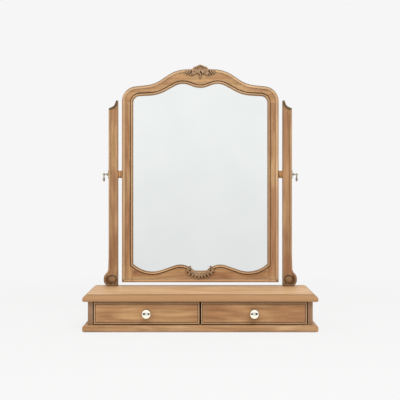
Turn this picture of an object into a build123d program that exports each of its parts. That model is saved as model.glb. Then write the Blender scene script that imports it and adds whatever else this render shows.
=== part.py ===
from build123d import *
from math import cos, radians, sin
import os

# Dressing table mirror: a framed mirror that tilts between two posts, on a base with two drawers.
# Millimetres, X to the right, Y to the back, Z up. The origin is on the table, in the middle
# of the space that the whole object fills. Right-hand pieces are drawn, left-hand ones mirrored.

# Fits
running_fit = 0.08  # radial, a shaft that turns
loose_fit = 0.15  # radial, screws, dowels and pins in their holes
slide_fit = 1.0  # drawer box to its guides, and glass to its rebate
seat_gap = 0.1  # a piece that turns against a face
spare = 2.0  # how far a cutter runs past what it cuts

# Screw shapes, as parts of the shank or the head
screw_tip_share = 0.25
head_round_share = 0.35
slot_width_share = 0.25
slot_depth_share = 0.5

# Base case
base_width = 720.0
board_depth = 220.0
pad_thickness = 1.5
plinth_thickness = 20.5
bay_height = 72.0
top_thickness = 22.0
side_overhang = 15.0  # boards past the case, left and right
front_setback = 15.5  # case front behind the boards' front
panel_thickness = 15.0
partition_thickness = 12.0
back_thickness = 6.0
back_inset = 2.0
pad_radius = 10.0
pad_inset = 25.0

# Edge mouldings, as inset and height
top_step = 1.5
top_ovolo = (12.3, 15.2)
top_underside = (6.4, 5.8)
plinth_round = (6.5, 7.0)
plinth_underside = (7.0, 7.0)

# Case fixings
case_fixing_front = 45.0
case_fixing_back = 50.0
case_screw_radius = 2.0
case_screw_head = (4.0, 3.0)
case_screw_length = 40.0
counterbore_depth = 5.0
dowel_radius = 4.0
dowel_length = 28.0
dowel_in_board = 12.0

# Drawers
front_thickness = 18.0
front_side_gap = 3.5
front_middle_gap = 6.0
front_gap_below = 3.0
front_gap_above = 3.5
front_rim = 3.0
front_groove = (2.5, 2.0)  # width and depth
front_rim_round = 1.2
guide_thickness = 3.0
guide_height = 12.0
box_wall = 10.0
box_length = 170.0
box_headroom = 12.0
box_bottom_rise = 8.0
bottom_thickness = 4.0
bottom_groove_depth = 4.0
back_wall_drop = 4.0

# Knob
knob_radius = 15.0
knob_projection = 25.0
knob_foot = (7.0, 1.6)
knob_neck_radius = 4.6
knob_neck_heights = (4.8, 8.0)
knob_neck_flare = 1.0
knob_rim_height = 15.5
knob_bore_depth = 11.0
knob_screw_radius = 2.0
knob_screw_head = (3.6, 2.2)
knob_screw_grip = 10.0  # screw length inside the knob

# Posts
post_width = 29.6
post_depth = 26.0
post_height = 614.3
post_setback = 6.0  # behind the post, to the board's back edge
post_tip = 5.2
post_shoulder_drop = 26.0
post_hollow = (18.2, 18.6)  # drop and radius of the concave top
post_hollow_inset = 11.4
post_edge_round = 1.2
foot_width = 45.9
foot_height = 34.5
foot_rise = 50.0
foot_waist_radius = 22.0
foot_corner_radius = 20.0
foot_neck = 1.7
foot_neck_height = 99.0
post_rim = 6.6
post_groove = (1.8, 2.4)
post_field_depth = 1.0
post_rim_round = 2.2
foot_eye = (18.2, 22.6, 12.2)  # from the inner face, height and radius
foot_hollow = (23.4, 21.0, 15.4, 4.2)  # middle, radius and depth
post_screw_radius = 2.25
post_screw_head = (4.4, 3.2)
post_screw_length = 55.0
post_screw_spacing = 13.0

# Mirror frame, heights from its lower edge
frame_width = 518.4
frame_height = 704.7
frame_thickness = 26.0
frame_clearance = 12.8  # above the top board
stile_width = 36.8
pivot_height = 357.2
pivot_gap = 14.1  # from the frame to each post
top_joint_drop = 21.0  # joint of rail and stiles, below the opening's upper corner

# Outer outline at the top: corner, foot of the arch and its shoulder, as x, drop and radius
outer_corner = (61.4, 49.2)
arch_foot = (151.6, 49.6, 107.7)
arch_shoulder = (78.7, 113.8)

# Opening at the top: corner, foot of the arch, crown and middle
opening_corner = (89.2, 21.8)
opening_foot = (139.6, 84.9, 126.0)
opening_crown = (62.3, 42.1, 55.4)
opening_middle = (64.7, 64.2)

# Opening at the bottom: corner, sag, crown and the dip behind the garland, as x, height and radius
sill_corner = 60.0
sill_sag = (176.1, 23.7, 92.1)
sill_crown = (64.2, 62.1, 57.2)
sill_shoulder = (32.0, 48.4, 20.0)
sill_dip = (20.0, 37.8, 14.0)

# Frame moulding
rim_width = 10.0
rim_groove_width = 1.6
bead_width = 7.2
bead_groove_width = 3.0
field_depth = 1.2
rim_groove_depth = 2.4
bead_drop = 0.8
bead_groove_depth = 4.2
bead_lip = (2.2, 3.4)  # width and drop of the edge inside the bead
rim_round = 5.0
bead_round = 2.3

# Glass and backing
lip_thickness = 9.0
glass_rebate = 8.0
glass_thickness = 4.0
board_rebate = 15.5
backing_thickness = 4.0
backing_fit = 0.5
backing_screw_count = 14
backing_screw_radius = 1.4
backing_screw_head = (2.8, 1.6)
backing_screw_length = 10.0

# Frame dowels
frame_dowel_radius = 3.0
frame_dowel_length = 36.0
frame_dowel_spacing = 9.0
sill_dowel_height = 8.5

# Pivots and thumb screws
bolt_radius = 2.5
insert_radius = 5.0
insert_wall = 6.0  # wood left behind the insert
spacer_radius = 13.0
spacer_waist = 10.6
spacer_ring = 2.6
spacer_round = 1.0
plate_size = (22.0, 31.0)
plate_thickness = 1.8
plate_collar = (5.2, 2.4)
plate_pin_spacing = 22.0
pin_radius = 0.8
pin_head = (2.6, 2.0)
pin_length = 12.0
pin_dome_share = 0.9
turn_gap = 0.3
stem_radius = 3.4
flange_radius = 4.6
flange_thickness = 2.0
ball_radius = 4.3
ball_offset = 17.1  # ball centre from the post's outer face
drop_size = (7.6, 14.0, 20.0)
drop_neck_radius = 1.9
drop_neck_length = 1.6
bolt_in_turn = 9.0

# Carvings, lobes as root, root radius, tip, tip radius and height, from the middle and frame edge
carving_fit = 0.15
lobe_round_share = 0.8
petal_count = 7
petal_spread = 150.0
petal_reach = 25.0
petal_radii = (4.0, 6.2)
petal_height = 8.0
fan_rise = -16.7  # fan root from the frame's top edge
crest_leaves = [
    ((10.0, -8.7), 6.0, (42.0, -4.7), 3.6, 4.5),
    ((13.0, -12.7), 4.0, (24.0, -17.7), 3.6, 7.0),
    ((23.0, -4.7), 3.6, (31.0, -17.7), 3.6, 6.5),
    ((33.0, -3.7), 3.4, (40.0, -16.2), 3.4, 6.0),
    ((41.0, -2.0), 2.8, (47.0, -6.7), 2.6, 5.0),
]
crest_pendant = ((0.0, -15.7), 5.0, (0.0, -28.7), 3.0, 6.5)
garland_horn = ((44.5, 37.5), 4.6, (34.0, 50.0), 3.4, 9.0)
garland_scallops = 7
garland_half = 33.0
garland_bottom = 15.3
garland_sag = 0.0104  # rise of the garland over the square of x
garland_band = 13.0
garland_radii = (3.8, 4.2)
garland_heights = (7.5, 6.0)

# Levels and lines that follow from the sizes
overall_depth = board_depth + knob_projection - front_setback
back_y = overall_depth / 2
front_y = back_y - board_depth
case_front = front_y + front_setback
front_back_y = case_front + front_thickness
panel_back_y = back_y - back_inset - back_thickness
plinth_top = pad_thickness + plinth_thickness
case_top = plinth_top + bay_height
board_top = case_top + top_thickness
case_half = base_width / 2 - side_overhang
bay_outer = case_half - panel_thickness
bay_inner = partition_thickness / 2
frame_half = frame_width / 2
opening_half = frame_half - stile_width
frame_bottom = board_top + frame_clearance
frame_top = frame_bottom + frame_height
pivot_z = frame_bottom + pivot_height
top_joint_z = frame_top - opening_corner[0] - top_joint_drop
post_inner = frame_half + pivot_gap
post_outer = post_inner + post_width
post_front = back_y - post_setback - post_depth
pivot_y = post_front + post_depth / 2
frame_front = pivot_y - frame_thickness / 2
frame_back = pivot_y + frame_thickness / 2
seat_y = frame_front + field_depth
glass_back_y = frame_front + lip_thickness + glass_thickness
insert_length = stile_width - board_rebate - insert_wall
plate_front = post_outer + plate_thickness
turn_start = plate_front + plate_collar[1] + turn_gap


# Basic shapes
from_base = (Align.CENTER, Align.CENTER, Align.MIN)


def block(low, high):
    size = [b - a for a, b in zip(low, high)]
    middle = [(a + b) / 2 for a, b in zip(low, high)]
    return Pos(*middle) * Box(*size)


def rod(radius, start, end):
    axis = Vector(*end) - Vector(*start)
    place = Plane(origin=start, z_dir=axis)
    return place * Cylinder(radius, axis.length, align=from_base)


def upright_rod(radius, x, y, bottom, top):
    return rod(radius, (x, y, bottom), (x, y, top))


def pivot_rod(radius, start, end, height=None):
    z = pivot_z if height is None else height
    return rod(radius, (start, pivot_y, z), (end, pivot_y, z))


def slab(face, front, back):
    return extrude(Pos(0, back, 0) * (Plane.XZ * face), amount=back - front)


def closed_face(corners):
    points = [(x, z) for x, z, _ in corners]
    rounds = [r for _, _, r in corners]
    return make_face(FilletPolyline(*points, radius=rounds, close=True))


def symmetric_face(right_half):
    left_half = [(-x, z, r) for x, z, r in reversed(right_half) if x > 0]
    return closed_face(right_half + left_half)


def left_of(shape):
    return mirror(shape, about=Plane.YZ)


def both_sides(shape):
    return [shape, left_of(shape)]


def rounded_front(shape, level, radius):
    return fillet(shape.edges().filter_by_position(Axis.Y, level, level), radius)


def screw(seat, direction, radius, head, length):
    head_radius, head_height = head
    point = 2 * radius
    shank = Cylinder(radius, length - point, align=from_base)
    tip = Pos(0, 0, length - point) * Cone(radius, radius * screw_tip_share, point, align=from_base)
    top = Cylinder(head_radius, head_height, align=(Align.CENTER, Align.CENTER, Align.MAX))
    top = fillet(top.edges().group_by(Axis.Z)[0], head_height * head_round_share)
    slot_size = (2 * head_radius + spare, head_radius * slot_width_share, 2 * head_height * slot_depth_share)
    slot = Pos(0, 0, -head_height) * Box(*slot_size)
    return Plane(origin=seat, z_dir=direction) * (top - slot + shank + tip)


# Base case
def edge_waste(thickness, upper, lower, step=0.0):
    over_in, over_drop = upper
    under_in, under_rise = lower
    low = under_rise - thickness
    upper_lines = [
        TangentArc((0, -over_drop), (over_in, -step), tangent=(0, 1)),
        Polyline((over_in, -step), (over_in, spare), (-spare, spare), (-spare, -over_drop), (0, -over_drop)),
    ]
    lower_lines = [
        TangentArc((0, low), (under_in, -thickness), tangent=(0, -1)),
        Polyline((under_in, -thickness), (under_in, -thickness - spare), (-spare, -thickness - spare)),
        Polyline((-spare, -thickness - spare), (-spare, low), (0, low)),
    ]
    return make_face(Curve() + upper_lines) + make_face(Curve() + lower_lines)


def moulded_board(bottom, thickness, waste):
    half = base_width / 2
    top = bottom + thickness
    board = block((-half, front_y, bottom), (half, back_y, top))
    cuts = [
        (Plane((-half, front_y, top), x_dir=(0, 1, 0), z_dir=(1, 0, 0)), base_width),
        (Plane((-half, back_y, top), x_dir=(1, 0, 0), z_dir=(0, -1, 0)), board_depth),
        (Plane((half, front_y, top), x_dir=(-1, 0, 0), z_dir=(0, 1, 0)), board_depth),
    ]
    for place, length in cuts:
        board -= extrude(place * waste, amount=length)
    return board


def case_fixings():
    uprights = [-(bay_outer + case_half) / 2, 0.0, (bay_outer + case_half) / 2]
    rows = [case_front + case_fixing_front, back_y - case_fixing_back]
    return [(x, y) for x in uprights for y in rows]


def case_screws():
    seat = pad_thickness + counterbore_depth
    sizes = (case_screw_radius, case_screw_head, case_screw_length)
    return [screw((x, y, seat), (0, 0, 1), *sizes) for x, y in case_fixings()]


def case_dowels():
    top = case_top + dowel_in_board
    return [upright_rod(dowel_radius, x, y, top - dowel_length, top) for x, y in case_fixings()]


def case_holes():
    seat = pad_thickness + counterbore_depth
    screw_end = seat + case_screw_length + loose_fit
    dowel_top = case_top + dowel_in_board + loose_fit
    dowel_bottom = case_top + dowel_in_board - dowel_length - loose_fit
    holes = []
    for x, y in case_fixings():
        holes.append(upright_rod(case_screw_head[0] + loose_fit, x, y, pad_thickness - spare, seat))
        holes.append(upright_rod(case_screw_radius + loose_fit, x, y, seat, screw_end))
        holes.append(upright_rod(dowel_radius + loose_fit, x, y, dowel_bottom, dowel_top))
    return holes


def post_screw_places():
    x = post_inner + post_width / 2
    offset = post_screw_spacing / 2
    return [(side * x, pivot_y + row * offset) for side in (1, -1) for row in (1, -1)]


def post_screws():
    seat = case_top + counterbore_depth
    sizes = (post_screw_radius, post_screw_head, post_screw_length)
    return [screw((x, y, seat), (0, 0, 1), *sizes) for x, y in post_screw_places()]


def post_screw_holes():
    seat = case_top + counterbore_depth
    screw_end = seat + post_screw_length + loose_fit
    holes = []
    for x, y in post_screw_places():
        holes.append(upright_rod(post_screw_head[0] + loose_fit, x, y, case_top - spare, seat))
        holes.append(upright_rod(post_screw_radius + loose_fit, x, y, seat, screw_end))
    return holes


def top_board():
    waste = edge_waste(top_thickness, top_ovolo, top_underside, top_step)
    return moulded_board(case_top, top_thickness, waste) - case_holes() - post_screw_holes()


def plinth_board():
    waste = edge_waste(plinth_thickness, plinth_round, plinth_underside)
    return moulded_board(pad_thickness, plinth_thickness, waste) - case_holes()


def side_panel():
    return block((bay_outer, case_front, plinth_top), (case_half, back_y, case_top)) - case_holes()


def centre_partition():
    panel = block((-bay_inner, front_back_y, plinth_top), (bay_inner, panel_back_y, case_top))
    return panel - case_holes()


def back_panel():
    return block((-bay_outer, panel_back_y, plinth_top), (bay_outer, panel_back_y + back_thickness, case_top))


def drawer_guide():
    low = (bay_outer - guide_thickness, front_back_y, plinth_top)
    return block(low, (bay_outer, panel_back_y, plinth_top + guide_height))


def felt_pads():
    x = base_width / 2 - pad_inset
    rows = [front_y + pad_inset, back_y - pad_inset]
    return [upright_rod(pad_radius, side * x, y, 0, pad_thickness) for side in (1, -1) for y in rows]


# Drawers, drawn at the right
front_inner = front_middle_gap / 2
front_outer = bay_outer - front_side_gap
front_bottom = plinth_top + front_gap_below
front_top = case_top - front_gap_above
box_outer = bay_outer - guide_thickness - slide_fit
box_inner = bay_inner + slide_fit
box_top = case_top - box_headroom
box_back_y = front_back_y + box_length
floor_bottom = plinth_top + box_bottom_rise
floor_top = floor_bottom + bottom_thickness
knob_x = (front_inner + front_outer) / 2
knob_z = (front_bottom + front_top) / 2


def drawer_floor_space(fit):
    grip = bottom_groove_depth - fit
    low = (box_inner + box_wall - grip, front_back_y - grip, floor_bottom - fit)
    return block(low, (box_outer - box_wall + grip, box_back_y + fit, floor_top + fit))


def drawer_front():
    low = (front_inner, case_front, front_bottom)
    board = block(low, (front_outer, front_back_y, front_top))
    groove_width, groove_depth = front_groove
    field_inset = front_rim + groove_width
    ring = block(
        (front_inner + front_rim, case_front - spare, front_bottom + front_rim),
        (front_outer - front_rim, case_front + groove_depth, front_top - front_rim),
    )
    ring -= block(
        (front_inner + field_inset, case_front - 2 * spare, front_bottom + field_inset),
        (front_outer - field_inset, case_front + 2 * spare, front_top - field_inset),
    )
    board = rounded_front(board - ring, case_front, front_rim_round)
    head_radius, head_height = knob_screw_head
    seat = front_back_y - head_height - loose_fit
    board -= rod(head_radius + loose_fit, (knob_x, seat, knob_z), (knob_x, front_back_y + spare, knob_z))
    board -= rod(knob_screw_radius + loose_fit, (knob_x, case_front - spare, knob_z), (knob_x, seat, knob_z))
    return board - drawer_floor_space(0)


def drawer_side(inner_face, outer_face):
    side = block((inner_face, front_back_y, plinth_top), (outer_face, box_back_y, box_top))
    return side - drawer_floor_space(0)


def drawer_back():
    low = (box_inner + box_wall, box_back_y - box_wall, floor_top + loose_fit)
    return block(low, (box_outer - box_wall, box_back_y, box_top - back_wall_drop))


def drawer_bottom():
    return drawer_floor_space(loose_fit / 2) & block(
        (box_inner, case_front, floor_bottom), (box_outer, box_back_y, floor_top)
    )


def knob():
    foot_radius, foot_rim = knob_foot
    neck_low, neck_high = knob_neck_heights
    outline = [
        Polyline((0, 0), (foot_radius, 0), (foot_radius, foot_rim)),
        Spline(
            (foot_radius, foot_rim),
            (knob_neck_radius, neck_low),
            (knob_neck_radius + knob_neck_flare, neck_high),
            (knob_radius, knob_rim_height),
            tangents=[(-1, 0), (0, 1)],
        ),
        Spline((knob_radius, knob_rim_height), (0, knob_projection), tangents=[(0, 1), (-1, 0)]),
        Line((0, knob_projection), (0, 0)),
    ]
    shape = revolve(Plane.XZ * make_face(Curve() + outline), axis=Axis.Z)
    shape -= rod(knob_screw_radius + running_fit, (0, 0, -spare), (0, 0, knob_bore_depth))
    return Plane(origin=(knob_x, case_front, knob_z), z_dir=(0, -1, 0)) * shape


def knob_screw():
    seat = front_back_y - knob_screw_head[1] - loose_fit
    length = seat - case_front + knob_screw_grip
    return screw((knob_x, seat, knob_z), (0, -1, 0), knob_screw_radius, knob_screw_head, length)


# Posts, drawn at the right
def post_outline(inner):
    hollow_drop, hollow_radius = post_hollow
    foot_outer = post_inner + foot_width
    top = board_top + post_height
    return closed_face([
        (inner, board_top, 0),
        (foot_outer, board_top, foot_corner_radius),
        (foot_outer, board_top + foot_height, foot_waist_radius),
        (post_outer + foot_neck, board_top + foot_rise, foot_waist_radius),
        (post_outer, board_top + foot_neck_height, 0),
        (post_outer, top - post_shoulder_drop, post_edge_round),
        (post_inner + post_hollow_inset, top - hollow_drop, hollow_radius),
        (post_inner + post_tip, top, post_edge_round),
        (inner, top, 0),
    ])


def post():
    groove_width, groove_depth = post_groove
    blank = slab(post_outline(post_inner), post_front, post_front + post_depth)
    blank = rounded_front(blank, post_front, post_rim_round)
    wide = post_outline(post_inner - foot_width)
    inside_rim = offset(wide, -post_rim, kind=Kind.INTERSECTION)
    inside_groove = offset(wide, -post_rim - groove_width, kind=Kind.INTERSECTION)
    blank -= slab(inside_rim, post_front - spare, post_front + post_field_depth)
    return blank - slab(inside_rim - inside_groove, post_front, post_front + groove_depth)


def scrolled_foot(blank):
    eye_x, eye_height, eye_radius = foot_eye
    hollow_x, hollow_height, hollow_radius, hollow_depth = foot_hollow
    eye = (post_inner + eye_x, board_top + eye_height)
    hollow = (post_inner + hollow_x, board_top + hollow_height)
    floor_y = post_front + hollow_depth
    blank -= slab(lobe_face(eye, hollow_radius, hollow, hollow_radius), post_front - spare, floor_y)
    dome = scale(Sphere(1), by=(eye_radius, hollow_depth, eye_radius))
    return blank + Pos(eye[0], floor_y, eye[1]) * dome


def finished_post():
    blank = scrolled_foot(post()) - post_screw_holes()
    blank -= pivot_rod(bolt_radius + running_fit, post_inner - spare, post_outer + spare)
    for z in plate_pin_heights():
        blank -= pivot_rod(pin_radius + loose_fit, post_outer - pin_length, post_outer + spare, z)
    return blank


# Mirror frame
def frame_outline():
    corner_drop, corner_radius = outer_corner
    foot_x, foot_drop, foot_radius = arch_foot
    shoulder_x, shoulder_radius = arch_shoulder
    return symmetric_face([
        (frame_half, frame_bottom, 0),
        (frame_half, frame_top - corner_drop, corner_radius),
        (foot_x, frame_top - foot_drop, foot_radius),
        (shoulder_x, frame_top, shoulder_radius),
    ])


def opening_outline():
    sill = [sill_dip, sill_shoulder, sill_crown, sill_sag]
    arch = [opening_foot, opening_crown]
    lower = [(x, frame_bottom + height, radius) for x, height, radius in sill]
    upper = [(x, frame_top - drop, radius) for x, drop, radius in arch]
    middle = (0, frame_top - opening_middle[0], opening_middle[1])
    corners = [
        (opening_half, frame_bottom + sill_corner, 0),
        (opening_half, frame_top - opening_corner[0], opening_corner[1]),
    ]
    return symmetric_face(lower + corners + upper + [middle])


def grown(face, amount):
    return offset(face, amount, kind=Kind.INTERSECTION)


def backing_screw_places():
    inset = (glass_rebate + board_rebate) / 2
    line = grown(opening_outline(), inset).wire()
    start = line.param_at_point(Vector(0, frame_bottom + sill_dip[1] - inset))
    places = [line @ ((start + i / backing_screw_count) % 1) for i in range(backing_screw_count)]
    return [(place.X, place.Y) for place in places]


def backing_screw_holes(front, back):
    radius = backing_screw_radius + loose_fit
    return [rod(radius, (x, front, z), (x, back, z)) for x, z in backing_screw_places()]


def moulded_frame():
    outer = frame_outline()
    opening = opening_outline()
    lip_width, lip_drop = bead_lip
    field = grown(outer, -rim_width)
    bead = grown(opening, bead_width)
    rim_groove = field - grown(outer, -rim_width - rim_groove_width)
    bead_groove = grown(opening, bead_width + bead_groove_width) - bead
    bead_y = frame_front + bead_drop
    frame = rounded_front(slab(outer, frame_front, frame_back), frame_front, rim_round)
    frame -= slab(opening, frame_front - spare, frame_back + spare)
    frame -= slab(field - bead, frame_front - spare, seat_y)
    frame -= slab(bead, frame_front - spare, bead_y)
    frame -= slab(grown(opening, lip_width), frame_front - spare, frame_front + lip_drop)
    frame -= slab(rim_groove, frame_front, frame_front + rim_groove_depth)
    frame -= slab(bead_groove, frame_front, frame_front + bead_groove_depth)
    frame = rounded_front(frame, bead_y, bead_round)
    frame -= slab(grown(opening, glass_rebate), frame_front + lip_thickness, frame_back + spare)
    frame -= slab(grown(opening, board_rebate), glass_back_y, frame_back + spare)
    screw_end = glass_back_y + backing_thickness - backing_screw_length - loose_fit
    frame -= backing_screw_holes(screw_end, glass_back_y + spare)
    return frame - insert_holes() - frame_dowel_holes()


def frame_dowel_ends():
    wall_x = frame_half - (stile_width - board_rebate) / 2
    reach = frame_dowel_length / 2
    ends = []
    for offset_x in (-frame_dowel_spacing / 2, frame_dowel_spacing / 2):
        x = wall_x + offset_x
        ends.append(((x, top_joint_z - reach), (x, top_joint_z + reach)))
    for rise in (0, frame_dowel_spacing):
        z = frame_bottom + sill_dowel_height + rise
        ends.append(((opening_half - reach, z), (opening_half + reach, z)))
    return ends


def frame_dowels():
    pieces = []
    for (x0, z0), (x1, z1) in frame_dowel_ends():
        pieces += both_sides(rod(frame_dowel_radius, (x0, pivot_y, z0), (x1, pivot_y, z1)))
    return pieces


def frame_dowel_holes():
    holes = []
    for (x0, z0), (x1, z1) in frame_dowel_ends():
        hole = rod(frame_dowel_radius + loose_fit, (x0, pivot_y, z0), (x1, pivot_y, z1))
        holes += both_sides(hole)
    return holes


def insert_holes():
    start = frame_half - insert_length - loose_fit
    return both_sides(pivot_rod(insert_radius + loose_fit, start, frame_half + spare))


def frame_pieces():
    frame = moulded_frame() - carving_pocket(crest_lobes()) - carving_pocket(garland_lobes())
    top_z = frame_top + spare
    low_y = frame_front - spare
    high_y = frame_back + spare
    low_z = frame_bottom - spare
    outside = frame_half + spare
    top = frame & block((-outside, low_y, top_joint_z), (outside, high_y, top_z))
    right = frame & block((opening_half, low_y, low_z), (outside, high_y, top_joint_z))
    left = frame & block((-outside, low_y, low_z), (-opening_half, high_y, top_joint_z))
    sill = frame & block((-opening_half, low_y, low_z), (opening_half, high_y, pivot_z))
    return top, sill, left, right


def mirror_glass():
    face = grown(opening_outline(), glass_rebate - slide_fit)
    return slab(face, frame_front + lip_thickness, glass_back_y)


def backing_board():
    face = grown(opening_outline(), board_rebate - backing_fit)
    board = slab(face, glass_back_y, glass_back_y + backing_thickness)
    return board - backing_screw_holes(glass_back_y - spare, glass_back_y + backing_thickness + spare)


def backing_screws():
    seat = glass_back_y + backing_thickness
    sizes = (backing_screw_radius, backing_screw_head, backing_screw_length)
    return [screw((x, seat, z), (0, -1, 0), *sizes) for x, z in backing_screw_places()]


# Carvings
def lobe_face(root, root_radius, tip, tip_radius, grow=0.0):
    root_circle = Pos(*root) * Circle(root_radius + grow)
    tip_circle = Pos(*tip) * Circle(tip_radius + grow)
    return make_hull(root_circle.edges() + tip_circle.edges())


def lobe_solid(lobe):
    root, root_radius, tip, tip_radius, height = lobe
    shape = slab(lobe_face(root, root_radius, tip, tip_radius), seat_y - height, seat_y)
    front = shape.edges().filter_by_position(Axis.Y, seat_y - height, seat_y - height)
    return fillet(front, lobe_round_share * min(root_radius, tip_radius, height))


def mirrored_lobes(lobe):
    (x0, z0), r0, (x1, z1), r1, height = lobe
    return [lobe, ((-x0, z0), r0, (-x1, z1), r1, height)]


def raised(lobe, level):
    (x0, z0), r0, (x1, z1), r1, height = lobe
    return ((x0, z0 + level), r0, (x1, z1 + level), r1, height)


def crest_lobes():
    root_radius, tip_radius = petal_radii
    lobes = [crest_pendant]
    for i in range(petal_count):
        angle = radians(90 + petal_spread * (i / (petal_count - 1) - 0.5))
        tip = (petal_reach * cos(angle), fan_rise + petal_reach * sin(angle))
        lobes.append(((0, fan_rise), root_radius, tip, tip_radius, petal_height))
    for leaf in crest_leaves:
        lobes += mirrored_lobes(leaf)
    return [raised(lobe, frame_top) for lobe in lobes]


def garland_lobes():
    upper_radius, lower_radius = garland_radii
    upper_height, lower_height = garland_heights
    lobes = mirrored_lobes(garland_horn)
    for i in range(garland_scallops):
        x = garland_half * (2 * i / (garland_scallops - 1) - 1)
        low = garland_bottom + garland_sag * x * x
        inner_x = x * (garland_half - upper_radius) / garland_half
        lobes.append(((inner_x, low + garland_band), upper_radius, (x, low), lower_radius, lower_height))
    for i in range(garland_scallops - 1):
        ends = [garland_half * (2 * k / (garland_scallops - 1) - 1) for k in (i, i + 1)]
        (x0, z0), (x1, z1) = [(x, garland_bottom + garland_band + garland_sag * x * x) for x in ends]
        lobes.append(((x0, z0), upper_radius, (x1, z1), upper_radius, upper_height))
    return [raised(lobe, frame_bottom) for lobe in lobes]


def carving(lobes):
    shape = lobe_solid(lobes[0])
    for lobe in lobes[1:]:
        shape += lobe_solid(lobe)
    return shape


def carving_pocket(lobes):
    faces = [lobe_face(*lobe[:-1], carving_fit) for lobe in lobes]
    return [slab(face, frame_front - spare, seat_y) for face in faces]


# Pivots and thumb screws, drawn at the right
def threaded_insert():
    start = frame_half - insert_length
    bore = pivot_rod(bolt_radius + running_fit, start, frame_half)
    return pivot_rod(insert_radius, start, frame_half) - bore


def pivot_spacer():
    length = pivot_gap - seat_gap
    waist = spacer_ring + spacer_round
    half_outline = [
        (0, 0),
        (spacer_radius - spacer_round, 0),
        (spacer_radius, spacer_round),
        (spacer_radius, spacer_ring),
        (spacer_waist, waist),
    ]
    other_half = [(radius, length - height) for radius, height in half_outline]
    outline = [
        Polyline(*half_outline),
        ThreePointArc((spacer_waist, waist), (spacer_radius, length / 2), (spacer_waist, length - waist)),
        Polyline(*other_half),
        Line((0, length), (0, 0)),
    ]
    shape = revolve(Plane.XZ * make_face(Curve() + outline), axis=Axis.Z)
    shape -= rod(bolt_radius + running_fit, (0, 0, -spare), (0, 0, length + spare))
    return Plane(origin=(post_inner, pivot_y, pivot_z), z_dir=(-1, 0, 0)) * shape


def plate_pin_heights():
    return [pivot_z - plate_pin_spacing / 2, pivot_z + plate_pin_spacing / 2]


def backplate():
    width, height = plate_size
    collar_radius, collar_height = plate_collar
    place = Plane(origin=(post_outer, pivot_y, pivot_z), x_dir=(0, 1, 0), z_dir=(1, 0, 0))
    plate = extrude(place * Ellipse(width / 2, height / 2), amount=plate_thickness)
    plate = fillet(plate.edges().group_by(Axis.X)[-1], plate_thickness / 2)
    plate += pivot_rod(collar_radius, post_outer + plate_thickness / 2, plate_front + collar_height)
    plate -= pivot_rod(bolt_radius + running_fit, post_outer - spare, plate_front + collar_height + spare)
    for z in plate_pin_heights():
        plate -= pivot_rod(pin_radius + loose_fit, post_outer - spare, plate_front + spare, z)
    return plate


def backplate_pins():
    head_radius, head_height = pin_head
    pins = []
    for z in plate_pin_heights():
        head = pivot_rod(head_radius, plate_front, plate_front + head_height, z)
        head = fillet(head.edges().group_by(Axis.X)[-1], head_height * pin_dome_share)
        pins += both_sides(head + pivot_rod(pin_radius, plate_front + loose_fit - pin_length, plate_front, z))
    return pins


def thumb_turn():
    ball_x = post_outer + ball_offset
    width, depth, height = drop_size
    drop_top = pivot_z - ball_radius
    neck_bottom = drop_top - 2 * drop_neck_length
    flange = pivot_rod(flange_radius, turn_start, turn_start + flange_thickness)
    stem = pivot_rod(stem_radius, turn_start, ball_x)
    ball = Pos(ball_x, pivot_y, pivot_z) * Sphere(ball_radius)
    neck = upright_rod(drop_neck_radius, ball_x, pivot_y, neck_bottom, pivot_z)
    drop = scale(Sphere(1), by=(width / 2, depth / 2, height / 2))
    drop = Pos(ball_x, pivot_y, drop_top - height / 2) * drop
    bore = pivot_rod(bolt_radius + running_fit, turn_start - spare, turn_start + bolt_in_turn + loose_fit)
    return flange + stem + ball + neck + drop - bore


def pivot_bolt():
    return pivot_rod(bolt_radius, frame_half - insert_length + turn_gap, turn_start + bolt_in_turn)


# Every piece by name
def all_pieces():
    top_rail, bottom_rail, left_stile, right_stile = frame_pieces()
    pieces = {
        "top_board": top_board(),
        "plinth_board": plinth_board(),
        "centre_partition": centre_partition(),
        "back_panel": back_panel(),
        "drawer_guides": both_sides(drawer_guide()),
        "case_screws": case_screws(),
        "case_dowels": case_dowels(),
        "felt_pads": felt_pads(),
        "post_screws": post_screws(),
        "backplate_pins": backplate_pins(),
        "frame_top_rail": top_rail,
        "frame_bottom_rail": bottom_rail,
        "frame_left_stile": left_stile,
        "frame_right_stile": right_stile,
        "frame_dowels": frame_dowels(),
        "mirror_glass": mirror_glass(),
        "backing_board": backing_board(),
        "backing_screws": backing_screws(),
        "crest_carving": carving(crest_lobes()),
        "garland_carving": carving(garland_lobes()),
    }
    pairs = {
        "side_panel": side_panel(),
        "post": finished_post(),
        "backplate": backplate(),
        "pivot_spacer": pivot_spacer(),
        "threaded_insert": threaded_insert(),
        "thumb_turn": thumb_turn(),
        "pivot_bolt": pivot_bolt(),
        "drawer_front": drawer_front(),
        "drawer_outer_side": drawer_side(box_outer - box_wall, box_outer),
        "drawer_inner_side": drawer_side(box_inner, box_inner + box_wall),
        "drawer_back": drawer_back(),
        "drawer_bottom": drawer_bottom(),
        "drawer_knob": knob(),
        "knob_screw": knob_screw(),
    }
    for name, shape in pairs.items():
        pieces["right_" + name] = shape
        pieces["left_" + name] = left_of(shape)
    return pieces


os.makedirs("parts", exist_ok=True)
for name, shape in all_pieces().items():
    solids = Compound(shape) if isinstance(shape, list) else shape
    export_step(solids, f"parts/{name}.step")
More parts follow.
